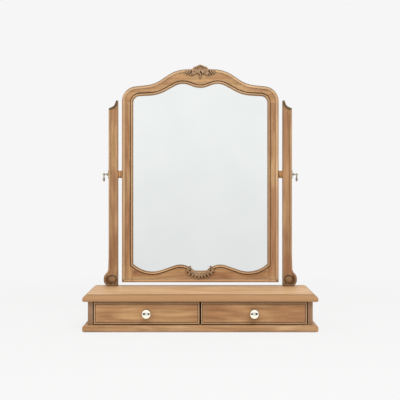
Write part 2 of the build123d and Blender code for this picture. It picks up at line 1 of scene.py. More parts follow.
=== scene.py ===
import bmesh
import bpy
import math
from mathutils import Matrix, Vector


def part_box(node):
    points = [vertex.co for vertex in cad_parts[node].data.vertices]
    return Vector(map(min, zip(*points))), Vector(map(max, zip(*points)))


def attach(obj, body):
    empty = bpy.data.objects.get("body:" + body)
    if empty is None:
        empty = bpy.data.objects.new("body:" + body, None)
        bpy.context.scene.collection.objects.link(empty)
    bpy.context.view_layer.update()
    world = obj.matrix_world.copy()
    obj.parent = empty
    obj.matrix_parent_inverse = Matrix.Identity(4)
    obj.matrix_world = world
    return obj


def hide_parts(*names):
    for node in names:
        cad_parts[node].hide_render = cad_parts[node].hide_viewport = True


# Dressing table mirror: washed oak, silvered glass, nickel fittings.
# Metres, X to the right, Y to the back, Z up.

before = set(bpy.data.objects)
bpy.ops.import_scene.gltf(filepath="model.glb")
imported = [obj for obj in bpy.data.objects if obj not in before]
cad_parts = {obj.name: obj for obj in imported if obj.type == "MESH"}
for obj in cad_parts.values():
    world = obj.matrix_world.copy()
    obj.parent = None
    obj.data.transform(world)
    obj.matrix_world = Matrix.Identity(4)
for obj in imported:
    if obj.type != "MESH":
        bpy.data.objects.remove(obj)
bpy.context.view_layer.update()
scene = bpy.context.scene
mm = 0.001


# colours and node helpers
def paint(red, green, blue):
    # a colour as a screen shows it, 0 to 255, made linear
    return tuple(((part / 255 + 0.055) / 1.055) ** 2.4 for part in (red, green, blue)) + (1.0,)


def addNode(tree, kind, values=None, **settings):
    node = tree.nodes.new(kind)
    for name, setting in settings.items():
        setattr(node, name, setting)
    for socket, value in (values or {}).items():
        if isinstance(value, bpy.types.NodeSocket):
            tree.links.new(value, node.inputs[socket])
        else:
            node.inputs[socket].default_value = value
    return node


def calc(tree, operation, first, second=0.0, clamp=False):
    return addNode(tree, "ShaderNodeMath", {0: first, 1: second}, operation=operation,
                   use_clamp=clamp).outputs[0]


def blendColour(tree, amount, first, second, how="MIX"):
    node = addNode(tree, "ShaderNodeMix", {0: amount, 6: first, 7: second}, data_type="RGBA", blend_type=how)
    return node.outputs[2]


def fade(tree, value, low, high, start=0.0, end=1.0):
    # 0 below low, 1 above high, smooth between
    node = addNode(tree, "ShaderNodeMapRange", {0: value, 1: low, 2: high, 3: start, 4: end})
    node.interpolation_type = "SMOOTHSTEP"
    return node.outputs[0]


def grainNoise(tree, vector, stretch, detail=3.0, rough=0.55):
    wide = addNode(tree, "ShaderNodeVectorMath", {0: vector, 1: stretch}, operation="MULTIPLY").outputs[0]
    values = {"Vector": wide, "Scale": 1.0, "Detail": detail, "Roughness": rough}
    return addNode(tree, "ShaderNodeTexNoise", values).outputs["Fac"]


def newGroup(name, inputs, outputs):
    group = bpy.data.node_groups.new(name, "ShaderNodeTree")
    for socket, kind, value in inputs:
        made = group.interface.new_socket(name=socket, in_out="INPUT", socket_type="NodeSocket" + kind)
        if value is not None:
            made.default_value = value
    for socket, kind in outputs:
        group.interface.new_socket(name=socket, in_out="OUTPUT", socket_type="NodeSocket" + kind)
    entry = group.nodes.new("NodeGroupInput")
    leave = group.nodes.new("NodeGroupOutput")
    return group, entry.outputs, leave.inputs


def useGroup(tree, group, values):
    node = addNode(tree, "ShaderNodeGroup", node_tree=group)
    for socket, value in values.items():
        if isinstance(value, bpy.types.NodeSocket):
            tree.links.new(value, node.inputs[socket])
        else:
            node.inputs[socket].default_value = value
    return node.outputs


# effects that several finishes share
# stretch is along the grain, then across it twice, per metre
oakGrain = dict(
    wander=(2.5, 12.0, 12.0), streaks=(5.0, 110.0, 110.0), fibres=(22.0, 900.0, 900.0),
    patches=(5.0, 16.0, 16.0), pores=(95.0, 1500.0, 1500.0), flecks=(60.0, 130.0, 260.0),
    rings=(260.0, 210.0), ringWander=46.0, knotScale=21.0, knotSize=(0.035, 0.015), patchFade=(0.36, 0.64),
    poreFade=(0.60, 0.72), fleckFade=(0.60, 0.74), streakShare=0.75, ringShare=0.13, fibreShare=0.30,
    middle=0.59, punch=2.2, toneAmount=0.62, poreAmount=0.30, fleckAmount=0.22, knotAmount=0.55,
    roughness=(0.44, 0.60))


def makeOakFigure():
    # grain runs along X of the vector that comes in
    look = oakGrain
    tree, given, out = newGroup(
        "oakFigure",
        [("Vector", "Vector", None), ("Pale", "Color", paint(200, 165, 125)),
         ("Warm", "Color", paint(180, 135, 95)), ("Deep", "Color", paint(120, 85, 58)),
         ("Contrast", "Float", 1.0), ("Seed", "Float", 0.0)],
        [("Colour", "Color"), ("Height", "Float"), ("Roughness", "Float")])
    seed = given["Seed"]
    move = addNode(tree, "ShaderNodeCombineXYZ", {0: seed, 1: seed, 2: seed}).outputs[0]
    place = addNode(tree, "ShaderNodeVectorMath", {0: given["Vector"], 1: move}, operation="ADD").outputs[0]
    wander = grainNoise(tree, place, look["wander"], 2.0)
    across = addNode(tree, "ShaderNodeSeparateXYZ", {0: place}).outputs
    ringAt = calc(tree, "ADD", calc(tree, "MULTIPLY", across[1], look["rings"][0]),
                  calc(tree, "MULTIPLY", across[2], look["rings"][1]))
    rings = calc(tree, "SINE", calc(tree, "ADD", ringAt, calc(tree, "MULTIPLY", wander, look["ringWander"])))
    rings = addNode(tree, "ShaderNodeMath", {0: rings, 1: 0.5, 2: 0.5}, operation="MULTIPLY_ADD").outputs[0]
    streaks = grainNoise(tree, place, look["streaks"], 5.0, 0.6)
    fibres = grainNoise(tree, place, look["fibres"], 3.0, 0.6)
    patches = grainNoise(tree, place, look["patches"], 2.0)
    porous = fade(tree, grainNoise(tree, place, look["pores"], 1.0, 0.4), *look["poreFade"])
    fleck = fade(tree, grainNoise(tree, place, look["flecks"], 2.0, 0.5), *look["fleckFade"])
    dots = addNode(tree, "ShaderNodeTexVoronoi",
                   {"Vector": place, "Scale": look["knotScale"]}).outputs["Distance"]
    knots = fade(tree, dots, *look["knotSize"])
    tone = calc(tree, "ADD", calc(tree, "MULTIPLY", streaks, look["streakShare"]),
                calc(tree, "MULTIPLY", rings, look["ringShare"]))
    tone = calc(tree, "ADD", tone, calc(tree, "MULTIPLY", fibres, look["fibreShare"]))
    tone = calc(tree, "MULTIPLY", calc(tree, "SUBTRACT", tone, look["middle"]), given["Contrast"])
    tone = calc(tree, "ADD", calc(tree, "MULTIPLY", tone, look["punch"]), 0.5, clamp=True)
    ground = blendColour(tree, fade(tree, patches, *look["patchFade"]), given["Warm"], given["Pale"])
    colour = blendColour(tree, calc(tree, "MULTIPLY", tone, look["toneAmount"]), ground, given["Deep"])
    colour = blendColour(tree, calc(tree, "MULTIPLY", porous, look["poreAmount"]), colour, given["Deep"])
    colour = blendColour(tree, calc(tree, "MULTIPLY", fleck, look["fleckAmount"]), colour, given["Pale"])
    colour = blendColour(tree, calc(tree, "MULTIPLY", knots, look["knotAmount"]), colour, given["Deep"])
    tree.links.new(colour, out["Colour"])
    height = calc(tree, "SUBTRACT", calc(tree, "MULTIPLY", fibres, 0.5), calc(tree, "MULTIPLY", porous, 0.8))
    tree.links.new(height, out["Height"])
    tree.links.new(fade(tree, streaks, 0.2, 0.8, *look["roughness"]), out["Roughness"])
    return tree


glazeAndShadeTuning = dict(corner=(0.92, 0.42), clear=(8.0 * mm, 3.0 * mm), samples=16)


def makeGlazeTarnishAndShade():
    # dark in hollows: glazed wood and tarnished metal gather dark there, and it is also painted shade, laid in
    # corners by ambient occlusion and in grooves between two levels of Y, not on the sides and back
    group, given, out = newGroup(
        "glazeTarnishAndShade",
        [("Reach", "Float", 0.004), ("Face", "Float", 0.0), ("Floor", "Float", 1.0), ("Depth", "Float", 0.0)],
        [("Mask", "Float")])
    near = addNode(group, "ShaderNodeAmbientOcclusion", {"Distance": given["Reach"]},
                   samples=glazeAndShadeTuning["samples"]).outputs["AO"]
    corner = fade(group, near, *glazeAndShadeTuning["corner"])
    level = addNode(group, "ShaderNodeMapRange", {0: given["Depth"], 1: given["Face"], 2: given["Floor"]})
    past = calc(group, "SUBTRACT", given["Depth"], given["Floor"])
    sunk = calc(group, "MULTIPLY", level.outputs[0], fade(group, past, *glazeAndShadeTuning["clear"]))
    group.links.new(calc(group, "MAXIMUM", corner, sunk), out["Mask"])
    return group


edgeWearAndHighlightTuning = dict(edge=(0.995, 0.90), rub=(0.62, 0.40), rubScale=(38.0, 38.0, 38.0), samples=4)


def makeEdgeWearAndHighlights():
    # a mask of arrises that hands and cloths wear; on the carving's ridges it also serves as a painted
    # highlight
    group, given, out = newGroup(
        "wornEdges",
        [("Vector", "Vector", None), ("Width", "Float", 0.0012), ("Patchy", "Float", 0.4)],
        [("Mask", "Float")])
    soft = addNode(group, "ShaderNodeBevel", {"Radius": given["Width"]},
                   samples=edgeWearAndHighlightTuning["samples"]).outputs[0]
    flat = addNode(group, "ShaderNodeNewGeometry").outputs["Normal"]
    same = addNode(group, "ShaderNodeVectorMath", {0: soft, 1: flat},
                   operation="DOT_PRODUCT").outputs["Value"]
    edge = fade(group, same, *edgeWearAndHighlightTuning["edge"])
    rub = grainNoise(group, given["Vector"], edgeWearAndHighlightTuning["rubScale"], 3.0)
    lost = calc(group, "MULTIPLY", fade(group, rub, *edgeWearAndHighlightTuning["rub"]), given["Patchy"])
    keep = calc(group, "SUBTRACT", 1.0, lost)
    group.links.new(calc(group, "MULTIPLY", edge, keep), out["Mask"])
    return group


dulling = dict(up=(0.40, 0.60), proud=(1.15 * mm, 0.55 * mm))


def makeDullTop():
    # masks of what faces up, of a thin level line where a shadow is painted, of what stands proud, and of a
    # band at a face's edges
    group, given, out = newGroup(
        "dullTop",
        [("Normal", "Vector", None), ("Place", "Vector", None), ("Low", "Float", 5.0), ("High", "Float", 6.0),
         ("Proud", "Float", -5.0), ("EndAt", "Float", 5.0), ("Inside", "Vector", None),
         ("Outside", "Vector", None)],
        [("Up", "Float"), ("Line", "Float"), ("Proud", "Float"), ("Band", "Float")])
    facing = addNode(group, "ShaderNodeSeparateXYZ", {0: given["Normal"]}).outputs[2]
    spot = addNode(group, "ShaderNodeSeparateXYZ", {0: given["Place"]}).outputs
    above = calc(group, "GREATER_THAN", spot[2], given["Low"])
    below = calc(group, "LESS_THAN", spot[2], given["High"])
    group.links.new(calc(group, "MULTIPLY", above, below), out["Line"])
    sunk = calc(group, "SUBTRACT", spot[1], given["Proud"])
    proud = fade(group, sunk, *dulling["proud"])
    atEnd = calc(group, "MULTIPLY", proud, calc(group, "GREATER_THAN", spot[2], given["EndAt"]))
    group.links.new(calc(group, "MAXIMUM", fade(group, facing, *dulling["up"]), atEnd), out["Up"])
    group.links.new(calc(group, "SUBTRACT", proud, atEnd, clamp=True), out["Proud"])
    low = addNode(group, "ShaderNodeSeparateXYZ", {0: given["Inside"]}).outputs
    high = addNode(group, "ShaderNodeSeparateXYZ", {0: given["Outside"]}).outputs
    wide = calc(group, "ABSOLUTE", spot[0])
    band = calc(group, "MAXIMUM", calc(group, "LESS_THAN", wide, low[0]),
                calc(group, "GREATER_THAN", wide, high[0]))
    band = calc(group, "MAXIMUM", band, calc(group, "LESS_THAN", spot[2], low[2]))
    band = calc(group, "MAXIMUM", band, calc(group, "GREATER_THAN", spot[2], high[2]))
    group.links.new(band, out["Band"])
    return group


oakFigure = makeOakFigure()
dullTop = makeDullTop()
glazeTarnishAndShade = makeGlazeTarnishAndShade()
wornEdges = makeEdgeWearAndHighlights()


# finishes
def startMaterial(name):
    material = bpy.data.materials.new(name)
    material.use_nodes = True
    tree = material.node_tree
    tree.nodes.clear()
    shader = tree.nodes.new("ShaderNodeBsdfPrincipled")
    surface = tree.nodes.new("ShaderNodeOutputMaterial")
    tree.links.new(shader.outputs[0], surface.inputs[0])
    place = addNode(tree, "ShaderNodeTexCoord").outputs["Object"]
    return material, tree, shader, place


grainTurn = {"x": (0.0, 0.0, 0.0), "y": (0.0, 0.0, -math.pi / 2), "z": (0.0, math.pi / 2, 0.0)}
# every oak finish darkens its corners and hollows: partly a dark glazed finish, partly painted shade
plainOak = dict(pale=(203, 165, 125), warm=(186, 142, 101), deep=(128, 89, 58), contrast=1.0,
                glaze=(84, 54, 32), glazeAmount=0.75, reach=0.004, face=1.0, floor=2.0, worn=(212, 180, 146),
                wornAmount=0.45, wornWidth=0.0012, grain="x", seed=0.0, bump=0.12, dull=(136, 110, 80),
                dullAmount=0.0, line=(5.0, 6.0), lineAmount=0.0, proud=-5.0, endAt=5.0, proudAmount=0.5,
                inside=(-1.0, 0.0, -1.0), outside=(5.0, 0.0, 5.0), bandAmount=0.55, shade=(-2.0, -1.0),
                shadeAmount=0.5)


def oakMaterial(name, **changes):
    look = {**plainOak, **changes}
    material, tree, shader, place = startMaterial(name)
    turned = addNode(tree, "ShaderNodeMapping",
                     {"Vector": place, "Rotation": grainTurn[look["grain"]]}).outputs[0]
    oak = useGroup(tree, oakFigure, {
        "Vector": turned, "Pale": paint(*look["pale"]), "Warm": paint(*look["warm"]),
        "Deep": paint(*look["deep"]), "Contrast": look["contrast"], "Seed": look["seed"]})
    spot = addNode(tree, "ShaderNodeSeparateXYZ", {0: place}).outputs
    glaze = useGroup(tree, glazeTarnishAndShade, {
        "Reach": look["reach"], "Face": look["face"], "Floor": look["floor"], "Depth": spot[1]})["Mask"]
    normal = addNode(tree, "ShaderNodeTexCoord").outputs["Normal"]
    dull = useGroup(tree, dullTop, {
        "Normal": normal, "Place": place, "Low": look["line"][0], "High": look["line"][1],
        "Proud": look["proud"], "EndAt": look["endAt"], "Inside": look["inside"], "Outside": look["outside"]})
    worn = useGroup(tree, wornEdges, {"Vector": place, "Width": look["wornWidth"]})["Mask"]
    # arrises, proud parts and the band take one colour: real wear on most pieces, a painted highlight on the
    # carving's ridges, painted shade on the top board
    wearAndPaintedLightMix = calc(tree, "MAXIMUM", calc(tree, "MULTIPLY", worn, look["wornAmount"]),
                  calc(tree, "MULTIPLY", dull["Proud"], look["proudAmount"]))
    wearAndPaintedLightMix = calc(tree, "MAXIMUM", wearAndPaintedLightMix, calc(tree, "MULTIPLY", dull["Band"], look["bandAmount"]))
    colour = blendColour(tree, wearAndPaintedLightMix, oak["Colour"], paint(*look["worn"]))
    colour = blendColour(tree, calc(tree, "MULTIPLY", dull["Up"], look["dullAmount"]), colour,
                         paint(*look["dull"]))
    shade = fade(tree, spot[2], look["shade"][1], look["shade"][0], 0.0, look["shadeAmount"])
    colour = blendColour(tree, shade, colour, paint(*look["dull"]))
    # corners and grooves go dark: glazed finish and painted shade
    colour = blendColour(tree, calc(tree, "MULTIPLY", glaze, look["glazeAmount"]), colour,
                         paint(*look["glaze"]))
    # a thin level band in the same dark colour: a painted shadow line
    colour = blendColour(tree, calc(tree, "MULTIPLY", dull["Line"], look["lineAmount"]), colour,
                         paint(*look["glaze"]))
    tree.links.new(colour, shader.inputs["Base Color"])
    tree.links.new(oak["Roughness"], shader.inputs["Roughness"])
    bump = addNode(tree, "ShaderNodeBump",
                   {"Height": oak["Height"], "Strength": look["bump"], "Distance": 0.0005})
    tree.links.new(bump.outputs[0], shader.inputs["Normal"])
    shader.inputs["Specular IOR Level"].default_value = 0.18
    return material


def metalMaterial(name, bright, dark, smooth, rough, tarnish, marks):
    material, tree, shader, place = startMaterial(name)
    cloud = grainNoise(tree, place, (90.0, 90.0, 90.0), 4.0, 0.6)
    scratch = grainNoise(tree, place, (700.0, 700.0, 90.0), 2.0, 0.5)
    near = useGroup(tree, glazeTarnishAndShade, {"Reach": 0.003, "Face": 1.0, "Floor": 2.0})["Mask"]
    age = calc(tree, "MULTIPLY", calc(tree, "MAXIMUM", fade(tree, cloud, 0.50, 0.72), near), tarnish)
    tree.links.new(blendColour(tree, age, paint(*bright), paint(*dark)), shader.inputs["Base Color"])
    tree.links.new(fade(tree, cloud, 0.3, 0.8, smooth, rough), shader.inputs["Roughness"])
    bump = addNode(tree, "ShaderNodeBump", {"Height": scratch, "Strength": marks, "Distance": 0.0001})
    tree.links.new(bump.outputs[0], shader.inputs["Normal"])
    shader.inputs["Metallic"].default_value = 1.0
    return material


def glassMaterial():
    look = dict(tint=(251, 252, 252), haze=(239, 241, 240), smooth=0.004, smear=0.03)
    material, tree, shader, place = startMaterial("silveredGlass")
    breath = grainNoise(tree, place, (7.0, 7.0, 7.0), 3.0, 0.5)
    smear = grainNoise(tree, place, (160.0, 20.0, 30.0), 3.0, 0.6)
    tree.links.new(blendColour(tree, breath, paint(*look["tint"]), paint(*look["haze"])),
                   shader.inputs["Base Color"])
    tree.links.new(fade(tree, smear, 0.45, 0.8, look["smooth"], look["smear"]), shader.inputs["Roughness"])
    shader.inputs["Metallic"].default_value = 1.0
    return material


def feltMaterial():
    material, tree, shader, place = startMaterial("brownFelt")
    fuzz = grainNoise(tree, place, (1400.0, 1400.0, 1400.0), 4.0, 0.7)
    tree.links.new(blendColour(tree, fuzz, paint(92, 76, 60), paint(52, 41, 32)), shader.inputs["Base Color"])
    bump = addNode(tree, "ShaderNodeBump", {"Height": fuzz, "Strength": 0.6, "Distance": 0.0004})
    tree.links.new(bump.outputs[0], shader.inputs["Normal"])
    shader.inputs["Roughness"].default_value = 0.95
    shader.inputs["Sheen Weight"].default_value = 0.4
    return material


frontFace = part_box("frame_top_rail")[0].y
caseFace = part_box("left_drawer_front")[0].y
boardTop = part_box("top_board")[1]
# frame mouldings: the groove beside the bead takes glazed finish and painted shade
grooved = dict(pale=(198, 162, 118), warm=(172, 128, 92), deep=(110, 74, 46), contrast=1.2,
               face=frontFace + 3.6 * mm, floor=frontFace + 4.1 * mm, glaze=(88, 58, 34), glazeAmount=0.8,
               worn=(218, 186, 150), wornAmount=0.55, proud=frontFace, proudAmount=0.35,
               dull=(84, 70, 50), dullAmount=0.9)
drawerLow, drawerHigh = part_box("right_drawer_front")
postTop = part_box("left_post")[1].z
finishes = {
    # top board: painted shade darkens a strip along its back edge, a painted shadow line runs just under the
    # top face, and the darker edge and band colour on its arrises, its front moulding and all below the top
    # face is painted shade, with the top face left lighter
    "top_board": oakMaterial("oakTopBoard", pale=(228, 192, 148), warm=(216, 174, 128), deep=(158, 114, 74),
                             seed=0.31, face=boardTop.y - 22 * mm, floor=boardTop.y - 3 * mm, glazeAmount=0.6,
                             worn=(164, 124, 86), wornAmount=0.2, inside=(-1.0, 0.0, boardTop.z - 2.2 * mm),
                             bandAmount=0.85,
                             line=(boardTop.z - 2.1 * mm, boardTop.z - 0.25 * mm), lineAmount=0.55),
    "plinth_board": oakMaterial("oakPlinthBoard", pale=(204, 166, 126), warm=(184, 142, 102),
                                deep=(120, 86, 56), contrast=1.2, seed=1.7),
    "side_panel": oakMaterial("oakSidePanel", pale=(162, 134, 108), warm=(142, 112, 88), grain="z", seed=2.9),
    # the partition goes near black wherever other parts stand close: painted shade in the gaps behind the
    # drawer fronts
    "centre_partition": oakMaterial("oakPartition", grain="z", seed=3.3, reach=0.03, glaze=(40, 24, 12),
                                    glazeAmount=0.95),
    # posts: a painted shadow line where the foot stands on the board, painted shade darkening the foot towards
    # the board, and glazed finish with painted shade in the hollow round the eye
    "post": oakMaterial("oakPost", grain="z", seed=4.1, **{
        **grooved, "pale": (188, 150, 108), "warm": (162, 118, 84), "face": frontFace + 1.6 * mm,
        "floor": frontFace + 4.6 * mm, "proudAmount": 0.1, "endAt": postTop - 31 * mm, "lineAmount": 0.7,
        "line": (boardTop.z - mm, boardTop.z + 2.2 * mm),
        "shade": (boardTop.z + 14 * mm, boardTop.z + 52 * mm)}),
    "frame_top_rail": oakMaterial("oakTopRail", seed=5.2, **{**grooved, "warm": (180, 136, 96)}),
    "frame_bottom_rail": oakMaterial("oakBottomRail", seed=6.6,
                                     **{**grooved, "dullAmount": 0.2, "proudAmount": 0.5}),
    "stile": oakMaterial("oakStile", grain="z", seed=7.4, **grooved),
    # carving: glazed finish and painted shade in the recesses; its pale edge colour on the ridges is wear and
    # also a painted highlight
    "carving": oakMaterial("oakCarving", pale=(176, 144, 108), warm=(152, 118, 86), deep=(88, 62, 42),
                           reach=0.008, glaze=(48, 32, 20), glazeAmount=0.97, worn=(236, 206, 174),
                           wornAmount=0.8, wornWidth=0.002, seed=8.8),
    # the bobbin's grooves take glazed finish and painted shade
    "pivot_spacer": oakMaterial("oakBobbin", pale=(214, 164, 110), warm=(196, 140, 88), seed=9.1,
                                reach=0.006),
    # drawer fronts: glazed finish and painted shade in the groove and in the gaps round each front
    "drawer_front": oakMaterial("oakDrawerFront", pale=(200, 158, 112), warm=(178, 132, 92),
                                deep=(112, 74, 46), contrast=1.25, seed=10.3, face=caseFace + 0.4 * mm,
                                floor=caseFace + 2.4 * mm, wornWidth=0.0024, worn=(222, 184, 144),
                                wornAmount=0.8, glaze=(70, 42, 22), glazeAmount=0.85,
                                inside=(drawerLow.x + 3.2 * mm, 0.0, drawerLow.z + 3.2 * mm),
                                outside=(drawerHigh.x - 3.2 * mm, 0.0, drawerHigh.z - 3.2 * mm)),
    # drawer pine, and the plywood further down: their corners darken, painted shade
    "drawer_wood": oakMaterial("drawerPine", pale=(224, 196, 152), warm=(214, 180, 132), deep=(176, 136, 92),
                               grain="y", seed=11.5, glaze=(140, 106, 74), glazeAmount=0.35),
    "dowel": oakMaterial("beechDowel", pale=(222, 190, 152), warm=(212, 174, 132), deep=(178, 138, 100),
                         seed=12.2),
    "plywood": oakMaterial("birchPlywood", pale=(214, 186, 146), warm=(202, 168, 126), deep=(168, 132, 94),
                           seed=13.7, glaze=(130, 98, 68), glazeAmount=0.4),
    "glass": glassMaterial(),
    "polished": metalMaterial("polishedNickel", (236, 232, 224), (196, 188, 176), 0.04, 0.09, 0.35, 0.05),
    "antique": metalMaterial("antiqueNickel", (176, 168, 156), (92, 82, 70), 0.22, 0.38, 0.8, 0.2),
    "zinc": metalMaterial("zincSteel", (198, 200, 200), (150, 148, 140), 0.22, 0.36, 0.5, 0.2),
    "brass": metalMaterial("plainBrass", (214, 176, 104), (150, 112, 58), 0.18, 0.30, 0.5, 0.2),
    "felt": feltMaterial(),
}
nodeFinish = {
    "top_board": "top_board", "plinth_board": "plinth_board", "centre_partition": "centre_partition",
    "back_panel": "plywood", "backing_board": "plywood", "drawer_guides": "drawer_wood", "felt_pads": "felt",
    "frame_top_rail": "frame_top_rail", "frame_bottom_rail": "frame_bottom_rail", "frame_left_stile": "stile",
    "frame_right_stile": "stile", "frame_dowels": "dowel", "case_dowels": "dowel", "mirror_glass": "glass",
    "crest_carving": "carving", "garland_carving": "carving", "backplate_pins": "antique",
    "case_screws": "zinc", "post_screws": "zinc", "backing_screws": "zinc",
}
sideFinish = {
    "side_panel": "side_panel", "post": "post", "pivot_spacer": "pivot_spacer", "backplate": "antique",
    "thumb_turn": "antique", "pivot_bolt": "zinc", "threaded_insert": "brass", "drawer_front": "drawer_front",
    "drawer_outer_side": "drawer_wood", "drawer_inner_side": "drawer_wood", "drawer_back": "drawer_wood",
    "drawer_bottom": "plywood", "drawer_knob": "polished", "knob_screw": "zinc",
}
for name, finish in sideFinish.items():
    nodeFinish["left_" + name] = finish
    nodeFinish["right_" + name] = finish
for name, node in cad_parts.items():
    node.data.materials.clear()
    node.data.materials.append(finishes[nodeFinish[name]])
print("finishes on", len(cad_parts), "nodes")


# carved relief
def pathPoint(points, t):
    # a smooth line through all the points, t from 0 to 1
    count = len(points) - 1
    at = min(int(t * count), count - 1)
    part = t * count - at
    before, start, end, after = [Vector(points[min(max(at + step, 0), count)]) for step in (-1, 0, 1, 2)]
    bend = (2 * before - 5 * start + 4 * end - after) * part ** 2
    twist = (3 * start - before - 3 * end + after) * part ** 3
    return 0.5 * (2 * start + (end - before) * part + bend + twist)


def between(values, t):
    at = min(int(t * (len(values) - 1)), len(values) - 2)
    part = t * (len(values) - 1) - at
    return values[at] * (1 - part) + values[at + 1] * part


seatDepth = 2.5  # how far a carving's back lies inside the wood


def addRelief(bm, seat, shape, cells, place):
    # a grid is laid along a shape and its rim is drawn down to the seat
    made = bmesh.ops.create_grid(bm, x_segments=cells[0], y_segments=cells[1], size=1.0)["verts"]
    for vert in made:
        across, along, rise = shape((vert.co.x + 1) / 2, vert.co.y)
        vert.co = place(across, along, seat - (rise + seatDepth) * mm)
    faces = list({face for vert in made for face in vert.link_faces})
    rim = [edge for edge in {edge for face in faces for edge in face.edges} if edge.is_boundary]
    skirt = bmesh.ops.extrude_edge_only(bm, edges=rim)["geom"]
    for vert in [item for item in skirt if isinstance(item, bmesh.types.BMVert)]:
        vert.co.y = seat
    base = [item for item in skirt if isinstance(item, bmesh.types.BMEdge)]
    bmesh.ops.holes_fill(bm, edges=base, sides=0)


def leafShape(leaf):
    # a leaf with a sunk vein, fine ribs and a lobed edge
    points, widths, rises = leaf["path"], leaf["width"], leaf["rise"]
    lobes, ribs, vein = leaf.get("lobes", 0), leaf.get("ribs", 3), leaf.get("vein", 0.9)

    def shape(t, side):
        here = pathPoint(points, t)
        ahead = pathPoint(points, min(t + 0.02, 1.0)) - pathPoint(points, max(t - 0.02, 0.0))
        outward = Vector((-ahead.y, ahead.x)).normalized()
        width = between(widths, t) * (1.0 - 0.22 * abs(math.sin(math.pi * lobes * t)) if lobes else 1.0)
        spot = here + outward * side * width
        dome = max(1.0 - abs(side) ** 2.6, 0.0) ** 0.6
        rise = between(rises, t) * (0.30 + 0.70 * dome)
        rise -= vein * math.exp(-(side / 0.16) ** 2) * math.sin(math.pi * min(t * 1.1, 1.0))
        rise += 0.28 * math.cos(math.pi * ribs * side) * dome
        return spot.x, spot.y, max(rise, 0.2)
    return shape


def mirroredLeaf(leaf):
    return {**leaf, "path": [(-x, z) for x, z in leaf["path"]]}


def newPiece(name, bm, body, finish, replaced=(), angle=40.0):
    bmesh.ops.remove_doubles(bm, verts=bm.verts, dist=1e-6)
    bmesh.ops.recalc_face_normals(bm, faces=bm.faces)
    for face in bm.faces:
        face.smooth = True
    for edge in bm.edges:
        edge.smooth = len(edge.link_faces) != 2 or edge.calc_face_angle(0.0) < math.radians(angle)
    mesh = bpy.data.meshes.new(name)
    bm.to_mesh(mesh)
    bm.free()
    mesh.materials.append(finishes[finish])
    piece = bpy.data.objects.new(name, mesh)
    scene.collection.objects.link(piece)
    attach(piece, body)
    if replaced:
        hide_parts(*replaced)
    return piece


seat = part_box("crest_carving")[1].y + seatDepth * mm
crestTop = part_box("frame_top_rail")[1].z
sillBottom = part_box("frame_bottom_rail")[0].z

crest = dict(
    shellMiddle=(0.0, -9.0), shellWide=27.0, shellTall=22.2, flutes=9, shellRise=7.0, spread=118.0,
    fluteSwell=0.045, cupDepth=2.4, fluteDepth=0.75, boss=(9.6, 5.0), bossMiddle=(0.0, 1.5),
    bossRise=(1.2, 3.4), bossLift=3.0,
    leaves=[
        dict(path=[(9, -9), (18, -4.5), (30, -3.0), (44, -5.0), (49.5, -11.5)],
             width=[4.6, 4.4, 4.0, 3.8, 2.0], rise=[5.0, 5.5, 5.6, 6.6, 4.6], lobes=5),
        dict(path=[(12, -6), (16, -10), (20, -14), (26.5, -19.5)], width=[3.4, 4.2, 4.0, 1.8],
             rise=[6.0, 7.6, 7.8, 5.0], lobes=2),
        dict(path=[(22, -4), (25, -9), (28, -14.5), (34.5, -20.5)], width=[3.2, 3.9, 3.7, 1.6],
             rise=[6.0, 7.4, 7.2, 4.6], lobes=2),
        dict(path=[(32, -3), (34, -7.5), (36.5, -12.5), (42.5, -17.5)], width=[3.0, 3.7, 3.4, 1.5],
             rise=[5.6, 6.8, 6.6, 4.2], lobes=2),
        dict(path=[(40, -6), (43.0, -10.5), (47.5, -14.0)], width=[2.8, 3.4, 1.6], rise=[6.0, 7.2, 4.6]),
    ],
    pendant=[
        dict(path=[(-3.0, -7), (-3.6, -13), (1.6, -18.5), (-0.6, -25.5), (0.2, -31)],
             width=[3.6, 3.9, 3.2, 2.4, 1.3], rise=[7.6, 7.8, 7.0, 5.6, 3.4], ribs=2),
        dict(path=[(4.5, -9), (8.0, -13), (6.0, -18)], width=[2.8, 3.0, 1.5], rise=[6.6, 6.2, 4.0]),
    ],
)
garland = dict(
    horns=[
        dict(path=[(47.5, 35.5), (43.5, 39.0), (40.5, 43.5), (42.0, 46.5)], width=[2.6, 4.2, 3.8, 1.6],
             rise=[4.8, 6.4, 6.6, 3.4], vein=1.4),
        dict(path=[(41.0, 38.5), (37.5, 44.0), (34.0, 50.0), (33.2, 53.2)], width=[2.8, 3.6, 3.4, 1.8],
             rise=[6.0, 7.6, 8.8, 7.0], vein=1.2),
        dict(path=[(40.5, 40.0), (37.0, 36.0), (33.0, 32.0)], width=[2.4, 3.2, 2.6], rise=[6.8, 7.4, 6.0]),
    ],
    half=33.0, buds=9, scallops=8, budDrop=29.0, sag=0.0104, budRise=4.0, budSize=3.0,
    scallopRise=6.2, scallopLean=0.16, bandRise=2.6, bandDrop=4.0,
)


